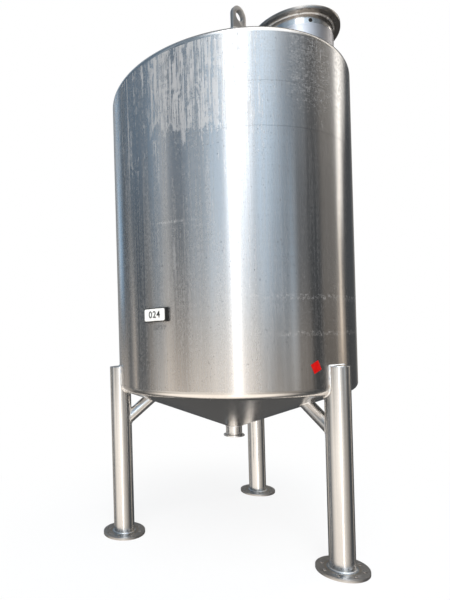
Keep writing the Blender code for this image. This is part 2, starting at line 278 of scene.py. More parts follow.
def apply_place(piece):
    """Put the object at the origin, with its place in its mesh."""
    work_on(piece)
    bpy.ops.object.transform_apply(location=True, rotation=True, scale=True)


def apply_modifier(piece, kind, **settings):
    """Finish a piece with a modifier and apply it."""
    modifier = piece.modifiers.new(kind.lower(), kind)
    for name, value in settings.items():
        setattr(modifier, name, value)
    work_on(piece)
    bpy.ops.object.modifier_apply(modifier=modifier.name)


def cut(piece, cutter):
    apply_modifier(piece, "BOOLEAN", operation="DIFFERENCE", solver="EXACT", object=cutter)


def remove(piece):
    bpy.data.objects.remove(piece, do_unlink=True)


def drill(piece, cutter):
    """Cut a piece with a cutter that isn't needed again."""
    cut(piece, cutter)
    remove(cutter)


def soften_edges(piece, width, segments=2):
    """Round a piece's sharp edges a little."""
    apply_modifier(piece, "BEVEL", width=width, segments=segments, limit_method="ANGLE",
                   angle_limit=radians(EDGE_ANGLE))


def draw_rings(name, outline, centre, sides):
    """Draw a ring out through (radius, height) points about an upright axis, in edit mode."""
    radius, height = outline[0]
    bpy.ops.mesh.primitive_circle_add(vertices=sides, radius=radius, location=(*centre, height))
    piece = new_piece(name)
    bpy.ops.object.mode_set(mode="EDIT")
    bpy.ops.mesh.select_all(action="SELECT")
    for next_radius, next_height in outline[1:]:
        rise = (0, 0, next_height - height)
        bpy.ops.mesh.extrude_region_move(TRANSFORM_OT_translate={"value": rise})
        share = next_radius / radius
        bpy.ops.transform.resize(value=(share, share, 1), center_override=(*centre, next_height))
        radius, height = next_radius, next_height
    return piece


def pick(kind, parts, wanted):
    """Go into edit mode with only the wanted ones of a piece's edges or faces selected."""
    bpy.ops.object.mode_set(mode="EDIT")
    bpy.ops.mesh.select_mode(type=kind)
    bpy.ops.mesh.select_all(action="DESELECT")
    bpy.ops.object.mode_set(mode="OBJECT")
    for part in parts:
        part.select = wanted(part)
    bpy.ops.object.mode_set(mode="EDIT")


def close_mesh():
    """Merge doubles, turn the faces outwards and leave edit mode."""
    bpy.ops.mesh.select_mode(type="VERT")
    bpy.ops.mesh.select_all(action="SELECT")
    bpy.ops.mesh.remove_doubles(threshold=MERGE)
    bpy.ops.mesh.normals_make_consistent(inside=False)
    bpy.ops.object.mode_set(mode="OBJECT")


def turned_sheet(name, outline, centre, sides, thickness, pole=False):
    """A turned sheet whose outer side is the outline, thickened inwards."""
    piece = draw_rings(name, outline, centre, sides)
    if pole:
        bpy.ops.mesh.merge(type="CENTER")
    close_mesh()
    apply_place(piece)
    apply_modifier(piece, "SOLIDIFY", thickness=thickness, offset=-1.0)
    return piece


def pipe(name, radius, bottom, top, centre, sides, wall):
    return turned_sheet(name, [(radius, bottom), (radius, top)], centre, sides, wall)


def turned_solid(name, outline, centre, sides):
    """A turned ring, whose section is the whole outline."""
    piece = draw_rings(name, outline + outline[:1], centre, sides)
    close_mesh()
    apply_place(piece)
    return piece


def turned_block(name, outline, centre, sides):
    """A turned solid without a bore, its two ends filled."""
    piece = draw_rings(name, outline, centre, sides)
    bpy.ops.mesh.select_all(action="SELECT")
    bpy.ops.mesh.fill_holes(sides=0)
    close_mesh()
    apply_place(piece)
    return piece


def cylinder(name, radius, bottom, top, centre, sides):
    return turned_block(name, [(radius, bottom), (radius, top)], centre, sides)


def block(name, size):
    """A box of a size, centred on the origin."""
    bpy.ops.mesh.primitive_cube_add(size=1.0)
    piece = new_piece(name)
    piece.scale = size
    apply_place(piece)
    return piece


def move_mesh(piece, matrix):
    """Move a piece's mesh, with its object left at the origin."""
    piece.data.transform(matrix)
    piece.data.update()


def onto_tank(piece, azimuth, reach, height, lean=Matrix.Identity(4)):
    """Move a piece made round the origin, facing -Y, to its place round the tank."""
    spot = along(azimuth, reach)
    place = Matrix.Translation((spot.x, spot.y, height)) @ Matrix.Rotation(radians(azimuth), 4, "Z")
    move_mesh(piece, place @ lean)


def even_points(path):
    """Points along a closed path at the even steps that the ripples need."""
    corners = [Vector(point) for point in path + path[:1]]
    lengths = [(end - start).length for start, end in zip(corners, corners[1:])]
    count = round(sum(lengths) / RIPPLE_PITCH) * RIPPLE_POINTS
    step = sum(lengths) / count
    slack = step / 1000
    points = []
    travelled = 0.0
    for start, end, length in zip(corners, corners[1:], lengths):
        while len(points) * step < travelled + length - slack:
            share = (len(points) * step - travelled) / length
            points.append(start.lerp(end, share))
        travelled += length
    return points


def weld_bead(name, path, width, slot, swell=None):
    """Lay a rippled bead round a path: a round curve whose size pulses, made a mesh."""
    chance = random.Random(name)
    points = even_points(path)
    drawn = bpy.data.curves.new(name, "CURVE")
    drawn.dimensions = "3D"
    drawn.bevel_depth = width / 2
    drawn.bevel_resolution = BEAD_ROUNDNESS
    spline = drawn.splines.new("POLY")
    spline.points.add(len(points) - 1)
    spline.use_cyclic_u = True
    for index, place in enumerate(points):
        pulse = cos(2 * pi * index / RIPPLE_POINTS)
        size = 1 + RIPPLE_DEPTH * pulse + chance.uniform(-RIPPLE_CHANCE, RIPPLE_CHANCE)
        if swell is not None:
            size *= swell(place)
        spline.points[index].co = (*place, 1)
        spline.points[index].radius = size
    bead = bpy.data.objects.new(name, drawn)
    bpy.context.scene.collection.objects.link(bead)
    work_on(bead)
    bpy.ops.object.convert(target="MESH")
    bead = bpy.context.object
    bpy.ops.object.mode_set(mode="EDIT")
    close_mesh()
    finish_piece(bead, WELD_FINISH, slot, angle=WELD_SMOOTH_ANGLE)


def turns(steps):
    """Even angles round a circle, in radians."""
    return [2 * pi * step / steps for step in range(steps)]


def ring_path(centre, radius, height, steps=RING_STEPS):
    """Points of a ring, its height a number or a function of the point in plan."""
    points = []
    for angle in turns(steps):
        spot = Vector(centre) + Vector((radius * cos(angle), radius * sin(angle)))
        points.append((spot.x, spot.y, height(spot) if callable(height) else height))
    return points


def finish_piece(piece, finish, slot, *nodes, angle=SMOOTH_ANGLE):
    """Shade a piece smooth, unless it has no angle, give it its material and its place in the
    frame, and hide the CAD nodes that it stands for."""
    if angle is not None:
        work_on(piece)
        bpy.ops.object.shade_smooth_by_angle(angle=radians(angle))
    piece.data.materials.clear()
    piece.data.materials.append(finish)
    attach(piece, "root")
    if nodes:
        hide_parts(*nodes)


# Finishes

class Value:
    """A number, colour or shader in a node tree. Sums with it add Math nodes."""

    def __init__(self, paint, socket):
        self.paint = paint
        self.socket = socket

    def __add__(self, other):
        return self.paint.math("ADD", self, other)

    def __radd__(self, other):
        return self.paint.math("ADD", other, self)

    def __sub__(self, other):
        return self.paint.math("SUBTRACT", self, other)

    def __rsub__(self, other):
        return self.paint.math("SUBTRACT", other, self)

    def __mul__(self, other):
        return self.paint.math("MULTIPLY", self, other)

    def __rmul__(self, other):
        return self.paint.math("MULTIPLY", other, self)

    def __abs__(self):
        return self.paint.math("ABSOLUTE", self)

    def swing(self, amount):
        """Noise's swing to either side of its middle, 0.5, times an amount."""
        return (self - 0.5) * amount

    def rise(self, low=0.0, high=1.0):
        """0 below low and 1 above high, with a smooth step between."""
        return self.paint.value("ShaderNodeMapRange", {"interpolation_type": "SMOOTHSTEP"},
                                {"Value": self, "From Min": low, "From Max": high})

    def band(self, low, high, soft):
        """1 between low and high, fading to 0 over a soft edge outside them."""
        return self.rise(low - soft, low) * (1 - self.rise(high, high + soft))


class Paint:
    """The nodes of one finish, or of the surroundings."""

    def __init__(self, owner):
        owner.use_nodes = True
        self.owner = owner
        self.tree = owner.node_tree
        self.tree.nodes.clear()

    def node(self, kind, settings=None, inputs=None):
        """Add a node: its settings first, then the values or links of its sockets."""
        made = self.tree.nodes.new(kind)
        for name, setting in (settings or {}).items():
            setattr(made, name, setting)
        for name, value in (inputs or {}).items():
            if isinstance(value, Value):
                self.tree.links.new(value.socket, made.inputs[name])
            else:
                made.inputs[name].default_value = value
        return made

    def value(self, kind, settings=None, inputs=None, output=0):
        return Value(self, self.node(kind, settings, inputs).outputs[output])

    def math(self, operation, *numbers):
        return self.value("ShaderNodeMath", {"operation": operation}, dict(enumerate(numbers)))

    def vector(self, operation, first, second, output=0):
        return self.value("ShaderNodeVectorMath", {"operation": operation},
                          {0: first, 1: second}, output)

    def mix(self, first, second, share):
        """A colour between a plain or varied one and a plain one."""
        first = first if isinstance(first, Value) else (*first, 1.0)
        return self.value("ShaderNodeMix", {"data_type": "RGBA"},
                          {0: share, 6: first, 7: (*second, 1.0)}, output=2)

    def scaled(self, colour, amount):
        """A plain colour made brighter or darker by a number."""
        return self.value("ShaderNodeVectorMath", {"operation": "SCALE"},
                          {0: colour, "Scale": amount})

    def split(self, vector):
        made = self.node("ShaderNodeSeparateXYZ", None, {0: vector})
        return [Value(self, socket) for socket in made.outputs]

    def noise(self, place, grains, detail=3.0, roughness=0.5, distortion=0.0):
        """Noise with so many grains per metre, given as one number or along each axis."""
        stretch = grains if isinstance(grains, tuple) else (grains, grains, grains)
        return self.value("ShaderNodeTexNoise", None,
                          {"Vector": self.vector("MULTIPLY", place, stretch),
                           "Scale": 1.0, "Detail": detail,
                           "Roughness": roughness, "Distortion": distortion})

    def finished(self, tone, roughness, height, depth, metallic=1.0, **others):
        """The finish with its Principled shader, whose other sockets are named with underscores."""
        normal = self.value("ShaderNodeBump", None, {"Height": height, "Distance": depth})
        inputs = {"Base Color": tone, "Roughness": roughness, "Metallic": metallic, "Normal": normal}
        inputs.update({name.replace("_", " "): value for name, value in others.items()})
        shader = self.value("ShaderNodeBsdfPrincipled", None, inputs)
        self.node("ShaderNodeOutputMaterial", None, {"Surface": shader})
        return self.owner


def new_finish(name, centre=AXIS_POINT):
    """A new material's Paint, and the point's place on the object, measured from a centre."""
    paint = Paint(bpy.data.materials.new(name))
    place = paint.value("ShaderNodeTexCoord", output="Object")
    return paint, paint.vector("SUBTRACT", place, centre)


CLEAN_STEEL = (0.68, 0.685, 0.70)
WORN_STEEL = (0.50, 0.495, 0.49)
# Warm tone painted low on the shell: a painted reflection of the sunlit ground
WARM_STEEL = (0.64, 0.56, 0.48)
DRIED_FILM = (0.50, 0.505, 0.515)
# Dark tone of the seam lines and specks, and of the painted shadow under the nameplate
DARK_MARK = (0.16, 0.16, 0.165)
PALE_RIM = (0.62, 0.61, 0.59)
STRAW_BLOOM = (0.42, 0.36, 0.28)
BLUE_BLOOM = (0.42, 0.50, 0.60)
# Black painted into the vent's blind pit as the shade inside a hole
BLACK_DIRT = (0.012, 0.011, 0.010)

# Places of the shell's marks: heights in metres, azimuths in degrees
FILM_THICKENS = (1.25, 1.70)
FILM_ENDS = (20, 42)
SPLASH = ((1.570, 1.95, 0.02), (-14, 14, 8))
CORNER_FILM = ((1.42, 1.82, 0.06), (-52, -16, 6))
DARK_LINE = ((1.6865, 1.6895, 0.0016), (-2, 26))
FAINT_LINE = ((1.535, 1.538, 0.0016), (-20, 30))
TIDE_LINES = ((0.955, 0.968, 0.006), (0.832, 0.842, 0.006))
TIDE_STARTS = (16, 34)
SCUFF = ((1.238, 1.241, 0.004), (-21, 0, 2))
SCUFF_SLOPE = 0.0008
# Painted shadow: a dark band on the shell just under the nameplate's bracket
PLATE_DRIP = ((0.868, 0.882, 0.004), (-20, -14, 1))
# Heights over which the painted reflection of the ground fades out up the shell
WARM_BELOW = (0.70, 1.15)


def shell_finish():
    """Sheet ground round the shell, under dried film that ran down it, with lines and scuffs;
    a painted warm reflection of the ground low down, and a painted shadow under the nameplate.
    """
    paint, place = new_finish("brushed_shell")
    x, y, z = paint.split(place)
    turned = paint.math("ARCTAN2", x, 0 - y)
    azimuth = turned * degrees(1)
    sheet = paint.value("ShaderNodeCombineXYZ", None, {"X": turned * SHELL_RADIUS, "Y": z})

    clouds = paint.noise(place, (2.4, 2.4, 1.8))
    fine_lines = paint.noise(place, (2.5, 2.5, 190), 2.0, 0.7)
    broad_lines = paint.noise(place, (2, 2, 42), 3.0, 0.6)
    mottle = paint.noise(sheet, (110, 80, 1), 4.0, 0.7, 0.4)
    drips = paint.noise(sheet, (85, 4.0, 1), 4.0, 0.62, 0.5)
    gaps = paint.noise(sheet, (150, 7.0, 1), 2.0, 0.5, 0.9)
    streaks = paint.noise(sheet, (120, 1.8, 1), 4.0, 0.65, 0.25)
    runs = paint.noise(sheet, (30, 1.5, 1), 4.0, 0.6, 0.3)
    patches = paint.noise(sheet, (20, 15, 1), 6.0, 0.66, 2.0)
    weave = paint.noise(sheet, (40, 260, 1), 3.0, 0.6, 0.8)
    specks = paint.noise(place, (160, 160, 140), 1.0)

    upper = z.rise(*FILM_THICKENS)
    left = 1 - azimuth.rise(*FILM_ENDS)
    ragged = z + drips.swing(0.16) + patches.swing(0.22) + azimuth * 0.0016
    splash = ragged.band(*SPLASH[0]) * azimuth.band(*SPLASH[1])
    corner = z.band(*CORNER_FILM[0]) * azimuth.band(*CORNER_FILM[1])
    cover = drips.swing(1.0) + patches.swing(0.55) + runs.swing(0.8)
    cover = cover - 0.20 + splash * 0.17 + corner * 0.07 + left * upper * 0.06
    dried = cover.rise(-0.01, 0.05) * (1 - gaps.rise(0.53, 0.58) * upper * 0.9)
    rim = cover.band(-0.012, 0.002, 0.010) * upper
    strength = (0.22 + 0.53 * upper) * (0.25 + 0.75 * left)
    film = dried * strength * (0.4 + mottle) * (0.65 + 0.7 * streaks)
    scratched = paint.math("MAXIMUM", mottle, weave) * upper * (1 - left)
    haze = (mottle + streaks - 0.5).rise(0.45, 0.66) * (0.08 + 0.12 * left)
    haze = (haze + scratched.rise(0.50, 0.66) * 0.34) * (1 - dried)

    ring = z + patches.swing(0.012)
    dark_line = ring.band(*DARK_LINE[0]) * azimuth.rise(*DARK_LINE[1]) * mottle.rise(0.3, 0.75)
    faint_line = ring.band(*FAINT_LINE[0]) * azimuth.rise(*FAINT_LINE[1]) * 0.35
    tide = ring.band(*TIDE_LINES[0]) + ring.band(*TIDE_LINES[1])
    tide = tide * azimuth.rise(*TIDE_STARTS) * mottle.rise(0.45, 0.7)
    scuff = (ring + SCUFF_SLOPE * azimuth).band(*SCUFF[0]) * azimuth.band(*SCUFF[1])
    scuff = scuff * patches.rise(0.40, 0.60) * mottle.rise(0.35, 0.6)
    # Painted shadow under the nameplate, laid in with the dark marks
    under_plate = z.band(*PLATE_DRIP[0]) * azimuth.band(*PLATE_DRIP[1]) * mottle.rise(0.4, 0.6)
    marks = paint.math("MINIMUM", dark_line * 0.8 + faint_line + under_plate, 1.0)

    wear = broad_lines.swing(0.22) + fine_lines.swing(0.25) + clouds.swing(0.45)
    wear = wear + mottle.swing(0.5) * upper + streaks.swing(0.3 + 0.7 * left)
    tone = paint.mix(CLEAN_STEEL, WORN_STEEL, (0.35 + wear).rise())
    # Painted reflection: the lower shell is tinted warm, as if it mirrored the sunlit ground
    tone = paint.mix(tone, WARM_STEEL, (1 - z.rise(*WARM_BELOW)) * 0.45)
    tone = paint.mix(tone, DRIED_FILM, film + haze)
    tone = paint.mix(tone, PALE_RIM, rim * 0.4 + scuff * 0.25 + tide * 0.2)
    # Darkened by the seam lines, the painted shadow under the nameplate and dark specks
    tone = paint.mix(tone, DARK_MARK, marks * 0.5 + (1 - specks.rise(0.25, 0.30)) * 0.6)

    roughness = 0.20 + left * 0.05 + wear * 0.12 + film * 0.20 + haze * 0.1
    metallic = 1.0 - film * 0.75 - rim * 0.3 - haze * 0.6 - scuff * 0.25 - tide * 0.2
    height = fine_lines * 0.09 + broad_lines * 0.04 + dried * upper * 0.8 + mottle * 0.1 - marks
    return paint.finished(tone, roughness, height, 0.00010, metallic, Anisotropic=0.86,
                          Anisotropic_Rotation=0.25)


def head_finish():
    """Polished heads, faintly ringed, cloudy and smeared."""
    paint, place = new_finish("polished_heads")
    x, y, z = paint.split(place)
    reach = paint.math("SQRT", x * x + y * y)
    clouds = paint.noise(place, 5)
    rings = paint.noise(paint.value("ShaderNodeCombineXYZ", None, {"X": reach, "Y": z}),
                        (260, 260, 1), 2.0, 0.6)
    smears = paint.noise(place, 30, 4.0, 0.6, 0.5)
    wear = clouds.swing(0.7) + rings.swing(0.4)
    tone = paint.mix((0.66, 0.65, 0.64), (0.50, 0.485, 0.47), (0.35 + wear).rise())
    roughness = 0.22 + wear * 0.08 + smears.rise(0.55, 0.75) * 0.06
    return paint.finished(tone, roughness, rings * 0.3 + smears * 0.1, 0.00006)


def collar_finish():
    """The manway's neck: polished near its flange, ground duller below, with black painted shade in
    its vent.
    """
    paint, place = new_finish("manway_collar_steel", (*MANWAY_CENTRE, 0.0))
    z = paint.split(place)[2]
    clouds = paint.noise(place, 8)
    lines = paint.noise(place, (4, 4, 300), 2.0, 0.6)
    smears = paint.noise(place, (60, 60, 14), 4.0, 0.6, 0.6)
    ground = 1 - (z + clouds.swing(0.004)).rise(COLLAR_GROUND - 0.001, COLLAR_GROUND + 0.001)
    wear = clouds.swing(0.5) + lines.swing(0.4)
    tone = paint.mix((0.72, 0.72, 0.725), (0.54, 0.53, 0.52), (0.3 + wear).rise())
    tone = paint.mix(tone, (0.52, 0.52, 0.56), ground * 0.7)
    vent = (*(MANWAY_RADIUS * outward(VENT_AZIMUTH)), VENT_HEIGHT)
    away = paint.vector("DISTANCE", place, vent, "Value")
    # Painted shade: the vent's blind pit is coloured black, as a hole's dark inside
    dirt = 1 - (away + clouds.swing(0.004)).rise(VENT_RADIUS + 0.0015, VENT_RADIUS + 0.0035)
    tone = paint.mix(tone, BLACK_DIRT, dirt)
    roughness = 0.17 + wear * 0.08 + ground * 0.22 + smears.rise(0.55, 0.75) * 0.1 + dirt * 0.4
    return paint.finished(tone, roughness, lines * 0.4 + smears * 0.4, 0.0001, 1.0 - dirt)


def pipe_finish():
    """Polished pipe with faint turned lines, handling marks and dull spots."""
    paint, place = new_finish("polished_pipe")
    clouds = paint.noise(place, (9, 9, 5))
    lines = paint.noise(place, (10, 10, 640), 2.0, 0.6)
    marks = paint.noise(place, (70, 70, 24), 5.0, 0.7, 1.0)
    wear = clouds.swing(0.6) + lines.swing(0.35)
    tone = paint.mix((0.80, 0.80, 0.80), (0.62, 0.61, 0.60), (0.3 + wear).rise())
    roughness = 0.19 + wear * 0.10 + marks.rise(0.6, 0.75) * 0.14
    return paint.finished(tone, roughness, lines * 0.4 + marks * 0.3, 0.00008, Anisotropic=0.5,
                          Anisotropic_Rotation=0.25)


def brace_finish():
    """Polished pipe that slants, with marks that run no one way."""
    paint, place = new_finish("polished_brace")
    clouds = paint.noise(place, 12)
    marks = paint.noise(place, 90, 5.0, 0.7, 1.0)
    tone = paint.mix((0.82, 0.82, 0.82), (0.66, 0.65, 0.64), clouds.rise(0.3, 0.75))
    roughness = 0.16 + clouds * 0.08 + marks.rise(0.58, 0.75) * 0.12
    return paint.finished(tone, roughness, marks, 0.00006)


def plate_finish(name, tone_low, tone_high, roughness_low):
    """Hot rolled and pickled plate: dull, cloudy and lightly scored."""
    paint, place = new_finish(name)
    clouds = paint.noise(place, 16, 4.0, 0.6)
    grain = paint.noise(place, 420, 2.0)
    scores = paint.noise(place, (24, 260, 200), 3.0, 0.6)
    shading = (0.4 + clouds.swing(1.1) + scores.swing(0.5)).rise()
    tone = paint.mix(tone_high, tone_low, shading)
    roughness = roughness_low + shading * 0.14 + grain.swing(0.1)
    return paint.finished(tone, roughness, grain * 0.5 + scores * 0.6, 0.00012)


def foot_finish():
    """Pickled plate with a heat bloom round each leg: straw, then blue at the weld."""
    paint, place = new_finish("foot_plate_steel", (0.0, 0.0, 0.0))
    x, y, _ = paint.split(place)
    nearest = None
    for number in LEG_NUMBERS:
        spot = node_middle(f"foot_plate_{number}")
        across, back = x - spot.x, y - spot.y
        away = paint.math("SQRT", across * across + back * back)
        nearest = away if nearest is None else paint.math("MINIMUM", nearest, away)
    clouds = paint.noise(place, 20, 4.0, 0.6)
    grain = paint.noise(place, 420, 2.0)
    scores = paint.noise(place, (30, 240, 200), 3.0, 0.6)
    shading = (0.4 + clouds.swing(1.0) + scores.swing(0.4)).rise()
    tone = paint.mix((0.50, 0.49, 0.48), (0.36, 0.35, 0.345), shading)
    from_weld = nearest + clouds.swing(0.006) - LEG_RADIUS
    tone = paint.mix(tone, STRAW_BLOOM, from_weld.band(0.010, 0.014, 0.005) * 0.5)
    tone = paint.mix(tone, BLUE_BLOOM, from_weld.band(0.002, 0.006, 0.003) * 0.6)
    roughness = 0.36 + shading * 0.12 + grain.swing(0.1)
    return paint.finished(tone, roughness, grain * 0.5 + scores * 0.6, 0.00012)


def weld_finish():
    """Bright weld metal with straw and blue heat colours in patches."""
    paint, place = new_finish("weld_metal")
    patches = paint.noise(place, 45)
    grain = paint.noise(place, 500, 2.0)
    tone = paint.mix((0.82, 0.81, 0.80), (0.62, 0.54, 0.43), patches.rise(0.52, 0.72) * 0.7)
    tone = paint.mix(tone, (0.42, 0.47, 0.56), (1 - patches.rise(0.30, 0.42)) * 0.6)
    return paint.finished(tone, 0.24 + grain * 0.14, grain, 0.0001)


def enamel_finish():
    """White enamel of the nameplate, faintly uneven, with specks of dirt."""
    paint, place = new_finish("label_enamel")
    clouds = paint.noise(place, 60)
    dirt = paint.noise(place, 240, 3.0, 0.6)
    tone = paint.mix((0.88, 0.88, 0.86), (0.76, 0.75, 0.72), clouds.rise(0.5, 0.8))
    tone = paint.mix(tone, (0.45, 0.43, 0.40), dirt.rise(0.66, 0.78) * 0.5)
    return paint.finished(tone, 0.34 + clouds * 0.12, clouds, 0.00005, metallic=0.0)


def digit_finish():
    """Black paint of the digits, worn a little grey."""
    paint, place = new_finish("digit_black")
    wear = paint.noise(place, 400)
    tone = paint.mix((0.012, 0.012, 0.013), (0.07, 0.07, 0.07), wear.rise(0.5, 0.75))
    return paint.finished(tone, 0.42 + wear * 0.15, wear, 0.00003, metallic=0.0)


def sticker_finish():
    """Red vinyl, slightly faded in patches."""
    paint, place = new_finish("sticker_vinyl")
    fade = paint.noise(place, 70)
    orange_peel = paint.noise(place, 900, 1.0)
    tone = paint.mix((0.50, 0.004, 0.003), (0.58, 0.012, 0.009), fade.rise(0.4, 0.8))
    return paint.finished(tone, 0.5 + fade * 0.14, orange_peel, 0.00003, metallic=0.0,
                          Specular_IOR_Level=0.15)


HEAD_FINISH = head_finish()
PIPE_FINISH = pipe_finish()
# Near-black bracket steel: painted shade for the channel's shadowed sides
CHANNEL_FINISH = plate_finish("nameplate_channel_steel", (0.03, 0.03, 0.03),
                              (0.08, 0.078, 0.075), 0.40)
BRACE_FINISH = brace_finish()
PLATE_FINISH = plate_finish("lug_plate_steel", (0.36, 0.345, 0.33), (0.52, 0.51, 0.50), 0.34)
# Dark brown flange steel: painted shade for the flange's shaded underside
FLANGE_FINISH = plate_finish("flange_steel", (0.22, 0.20, 0.18), (0.36, 0.34, 0.32), 0.24)
FOOT_FINISH = foot_finish()
WELD_FINISH = weld_finish()


# The vessel

def make_vessel():
    """The shell, its two knuckle rings, the roof with its hole and the conical bottom."""
    shell = pipe("shell_sheet", SHELL_RADIUS, SHELL_BOTTOM + GAP, SHELL_TOP - GAP, TANK_AXIS,
                 VESSEL_SIDES, WALL)
    finish_piece(shell, shell_finish(), "shell_steel", "shell")
    for end, outline in (("roof", roof_arc(0.0)), ("bottom", bottom_arc(0.0))):
        rim = turned_sheet(f"{end}_rim", outline, TANK_AXIS, VESSEL_SIDES, WALL)
        finish_piece(rim, HEAD_FINISH, "head_steel", f"{end}_knuckle")

    edge_radius = roof_arc(0.0)[-1][0]
    steps = [edge_radius - GAP, *(edge_radius * share for share in ROOF_SHARES), ROOF_POLE]
    roof = turned_sheet("roof_sheet", [(reach, roof_height(reach)) for reach in steps], TANK_AXIS,
                        VESSEL_SIDES, WALL, pole=True)
    manway_hole = cylinder("manway_hole", MANWAY_RADIUS - WALL, MANWAY_FOOT, MANWAY_TOP,
                           MANWAY_CENTRE, MANWAY_SIDES)
    drill(roof, manway_hole)
    finish_piece(roof, HEAD_FINISH, "head_steel", "roof_cone")

    edge_radius = bottom_arc(0.0)[0][0]
    bore = OUTLET_RADIUS - OUTLET_WALL
    steps = [bore, *(edge_radius * share for share in BOTTOM_SHARES), edge_radius - GAP]
    bottom = turned_sheet("bottom_sheet", [(reach, bottom_height(reach)) for reach in steps],
                          TANK_AXIS, VESSEL_SIDES, WALL)
    finish_piece(bottom, HEAD_FINISH, "head_steel", "bottom_cone")


def make_outlet():
    """The outlet stub, its clamp ferrule with a sealing groove, and their seams."""
    bore = OUTLET_RADIUS - OUTLET_WALL
    end, ferrule_top = (corner.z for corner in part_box("outlet_ferrule"))
    stub_top = bottom_height(OUTLET_RADIUS, GAP)
    stub = pipe("outlet_stub", OUTLET_RADIUS, ferrule_top + GAP, stub_top, TANK_AXIS, LEG_SIDES,
                OUTLET_WALL)
    finish_piece(stub, PIPE_FINISH, "pipe_steel", "outlet_tube")

    edge_top = end + FERRULE_EDGE
    rounding = FERRULE_TAPER / 2
    groove = (bore + FERRULE_RADIUS) / 2
    middle = FERRULE_RADIUS - rounding
    outline = [(bore, end), (groove - GROOVE_HALF, end),
               (groove - GROOVE_FLOOR_HALF, end + GROOVE_DEPTH),
               (groove + GROOVE_FLOOR_HALF, end + GROOVE_DEPTH), (groove + GROOVE_HALF, end)]
    outline += arc((middle, end + rounding), rounding, -90, 0, ROUNDING_STEPS)
    outline += arc((middle, edge_top - rounding), rounding, 0, FERRULE_SWEEP, ROUNDING_STEPS)
    outline += [(OUTLET_RADIUS + FERRULE_SHOULDER[0], edge_top + FERRULE_SHOULDER[1]),
                (OUTLET_RADIUS, edge_top + FERRULE_TAPER), (OUTLET_RADIUS, ferrule_top),
                (bore, ferrule_top)]
    ferrule = turned_solid("outlet_clamp_ferrule", outline, TANK_AXIS, LEG_SIDES)
    finish_piece(ferrule, PIPE_FINISH, "pipe_steel", "outlet_ferrule")

    seam = ring_path(TANK_AXIS, OUTLET_RADIUS - THIN_WELD_SHIFT, ferrule_top)
    weld_bead("outlet_seam_weld", seam, OUTLET_SEAM_WIDTH, "pipe_steel")
    collar = ring_path(TANK_AXIS, OUTLET_RADIUS, stub_top)
    weld_bead("outlet_collar_weld", collar, OUTLET_COLLAR_WIDTH, "pipe_steel")


def vessel_block():
    """The vessel as one solid, the gap outside its surface, that cuts what is welded to it."""
    outline = [(BLOCK_POLE, bottom_height(BLOCK_POLE, GAP))] + bottom_arc(GAP) + roof_arc(GAP)
    outline.append((BLOCK_POLE, roof_height(BLOCK_POLE, GAP)))
    return turned_block("vessel_block", outline, TANK_AXIS, VESSEL_SIDES)


def saddle_path(azimuth, top):
    """Where a leg meets the vessel: under the bottom, up both sides and over the cap."""
    away = outward(azimuth)
    sideways = outward(azimuth + 90)
    meeting = (SHELL_RADIUS ** 2 - LEG_CIRCLE ** 2 - LEG_RADIUS ** 2) / (2 * LEG_CIRCLE * LEG_RADIUS)
    first = pi / 2 - asin(meeting)
    path = []
    for step in range(PATH_STEPS + 1):
        angle = first + (2 * pi - 2 * first) * step / PATH_STEPS
        spot = (LEG_CIRCLE + LEG_RADIUS * cos(angle)) * away + LEG_RADIUS * sin(angle) * sideways
        path.append((*(TANK_AXIS + spot), bottom_height(spot.length)))
    half = atan2(LEG_RADIUS * sin(first), LEG_CIRCLE + LEG_RADIUS * cos(first))
    for step in range(PATH_STEPS // 2 + 1):
        angle = -half + 2 * half * step / (PATH_STEPS // 2)
        spot = SHELL_RADIUS * (cos(angle) * away + sin(angle) * sideways)
        path.append((*(TANK_AXIS + spot), top))
    return path


def brace_frame(azimuth):
    """The brace's start on the leg's axis, its direction, and two directions across it."""
    turned = radians(azimuth)
    inward = Vector((-sin(turned), cos(turned), 0))
    rise = radians(BRACE_RISE)
    start = Vector((*along(azimuth, LEG_CIRCLE), BRACE_FOOT))
    direction = inward * cos(rise) + Vector((0, 0, sin(rise)))
    upward = inward * -sin(rise) + Vector((0, 0, cos(rise)))
    return start, direction, upward, direction.cross(upward)


def brace_foot_path(azimuth):
    """Where a brace meets its leg."""
    start, direction, upward, sideways = brace_frame(azimuth)
    rise = radians(BRACE_RISE)
    path = []
    for angle in turns(PATH_STEPS):
        up_share = BRACE_RADIUS * cos(angle)
        reach = sqrt(LEG_RADIUS ** 2 - (BRACE_RADIUS * sin(angle)) ** 2)
        travel = (reach + up_share * sin(rise)) / cos(rise)
        path.append(start + direction * travel + upward * up_share
                    + sideways * BRACE_RADIUS * sin(angle))
    return path


def brace_head_path(azimuth):
    """Where a brace meets the bottom, found by halving its run."""
    start, direction, upward, sideways = brace_frame(azimuth)
    path = []
    for angle in turns(PATH_STEPS):
        side = upward * BRACE_RADIUS * cos(angle) + sideways * BRACE_RADIUS * sin(angle)
        low, high = BRACE_SEARCH
        for _ in range(BRACE_HALVINGS):
            travel = (low + high) / 2
            spot = start + side + direction * travel
            if spot.z < bottom_height((spot.xy - TANK_AXIS).length):
                low = travel
            else:
                high = travel
        path.append(start + side + direction * low)
    return path


